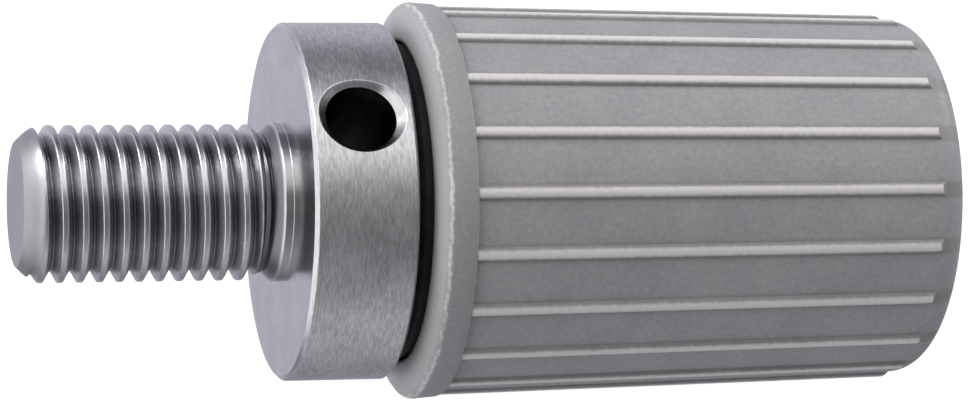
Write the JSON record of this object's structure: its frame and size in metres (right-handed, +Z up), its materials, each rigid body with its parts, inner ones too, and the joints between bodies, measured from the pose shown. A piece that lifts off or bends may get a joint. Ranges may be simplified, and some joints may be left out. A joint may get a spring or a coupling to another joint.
{
  "type": "revolving grip",
  "caption": "Stud-mounted revolving grip: threaded steel stud and collar with a cross hole, carrying a ribbed grey sleeve that spins on ball bearings.",
  "frame": {"origin": "centre of the collar's front face, which seats on the machine, on the spindle's axis", "axes": "+X along the spindle's axis from the stud towards the grip's free end, +Z up along the collar's cross hole"},
  "size_m": [0.0935, 0.0402, 0.0402],
  "materials": {
    "turned_steel": "turned and brushed round the axis, bright zinc",
    "bearing_steel": "ground and polished",
    "spring_steel": "black oxide",
    "natural_nylon": "as moulded",
    "black_nylon": "as moulded",
    "black_rubber": "dull",
    "grey_moulding": "fine matt texture, rib tops rubbed lighter"
  },
  "bodies": {
    "spindle": {"spindle": "turned_steel", "spacer_tube": "turned_steel", "end_washer": "turned_steel", "axle_circlip": "spring_steel", "front_bearing_inner_ring": "bearing_steel", "rear_bearing_inner_ring": "bearing_steel"},
    "grip": {"grip_sleeve": "grey_moulding", "hub_core": "black_nylon", "dust_seal": "black_rubber", "bore_circlip": "spring_steel", "front_bearing_outer_ring": "bearing_steel", "rear_bearing_outer_ring": "bearing_steel", "front_bearing_front_shield": "bearing_steel", "front_bearing_rear_shield": "bearing_steel", "rear_bearing_front_shield": "bearing_steel", "rear_bearing_rear_shield": "bearing_steel"},
    "front_balls": {"front_bearing_cage": "natural_nylon", "front_bearing_ball_1": "bearing_steel", "front_bearing_ball_2": "bearing_steel", "front_bearing_ball_3": "bearing_steel", "front_bearing_ball_4": "bearing_steel", "front_bearing_ball_5": "bearing_steel", "front_bearing_ball_6": "bearing_steel", "front_bearing_ball_7": "bearing_steel", "front_bearing_ball_8": "bearing_steel"},
    "rear_balls": {"rear_bearing_cage": "natural_nylon", "rear_bearing_ball_1": "bearing_steel", "rear_bearing_ball_2": "bearing_steel", "rear_bearing_ball_3": "bearing_steel", "rear_bearing_ball_4": "bearing_steel", "rear_bearing_ball_5": "bearing_steel", "rear_bearing_ball_6": "bearing_steel", "rear_bearing_ball_7": "bearing_steel", "rear_bearing_ball_8": "bearing_steel"}
  },
  "joints": [
    {"name": "grip_spin", "type": "hinge", "parent": "spindle", "child": "grip", "pos_m": [0.04, 0, 0], "axis": [1, 0, 0], "continuous": true},
    {"name": "front_cage_spin", "type": "hinge", "parent": "spindle", "child": "front_balls", "pos_m": [0.0193, 0, 0], "axis": [1, 0, 0], "continuous": true},
    {"name": "rear_cage_spin", "type": "hinge", "parent": "spindle", "child": "rear_balls", "pos_m": [0.052, 0, 0], "axis": [1, 0, 0], "continuous": true}
  ],
  "couplings": [
    {"joint": "front_cage_spin", "follows": "grip_spin", "ratio": 0.61},
    {"joint": "rear_cage_spin", "follows": "grip_spin", "ratio": 0.61}
  ]
}
